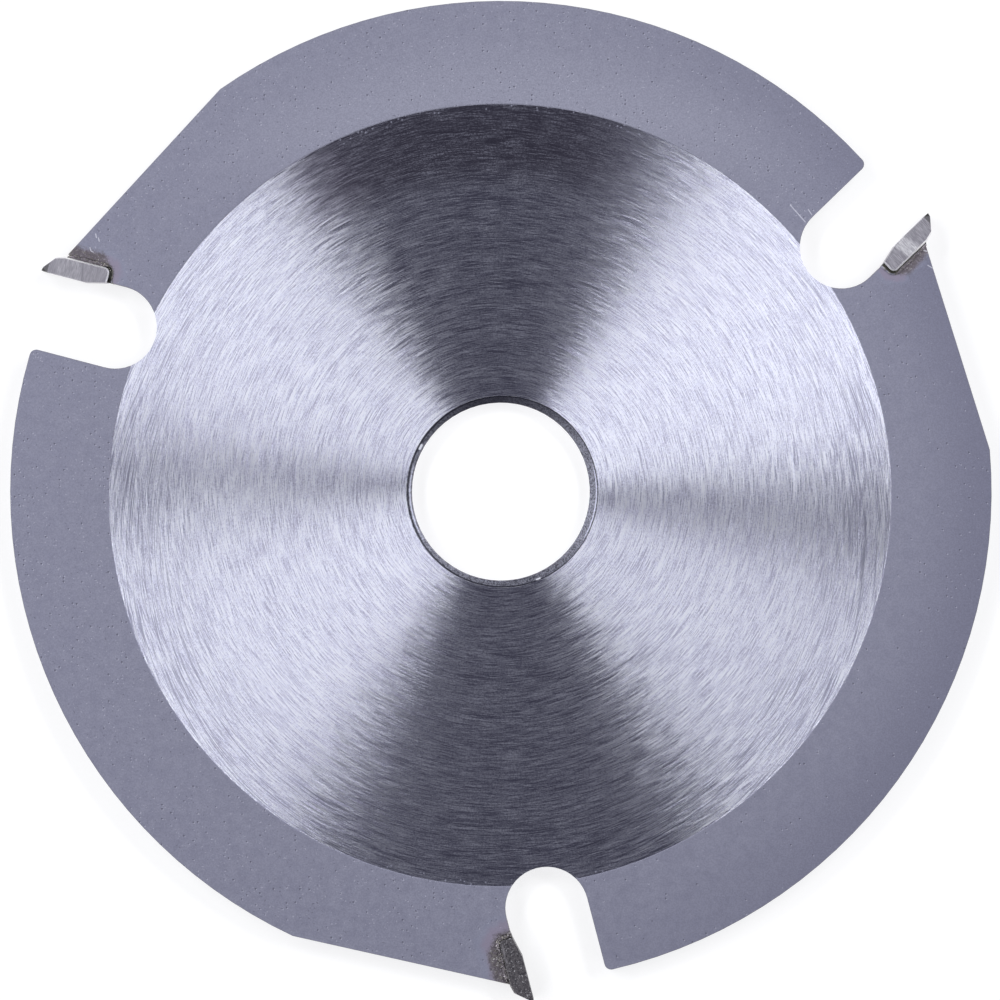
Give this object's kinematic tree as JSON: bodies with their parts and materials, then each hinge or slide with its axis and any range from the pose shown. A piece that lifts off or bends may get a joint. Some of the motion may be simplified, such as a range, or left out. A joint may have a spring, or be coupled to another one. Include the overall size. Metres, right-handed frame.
{
  "type": "wood cutting disc",
  "caption": "Flat round steel cutting disc with carbide teeth brazed at gullets in its rim, clearance flats behind them, a ground centre zone and a bevelled arbor bore.",
  "frame": {"origin": "centre of the bore, in the middle of the plate's thickness", "axes": "+Z along the bore's axis, out of the upper face; the disc lies flat, and seen from +Z the teeth cut counter-clockwise; +X is to the right in the picture and +Y is up in it"},
  "size_m": [0.1222, 0.1245, 0.0038],
  "materials": {
    "plate_steel": "circular ground centre zone inside a matt, finely pitted ring",
    "carbide": "ground tungsten carbide, with grinding bands and bright bevels",
    "braze": "dull olive-brown silver braze and flux stain"
  },
  "bodies": {
    "root": {"disc_body": "plate_steel", "carbide_tip_1": "carbide", "carbide_tip_2": "carbide", "carbide_tip_3": "carbide", "braze_joint_1": "braze", "braze_joint_2": "braze", "braze_joint_3": "braze"}
  },
  "joints": []
}
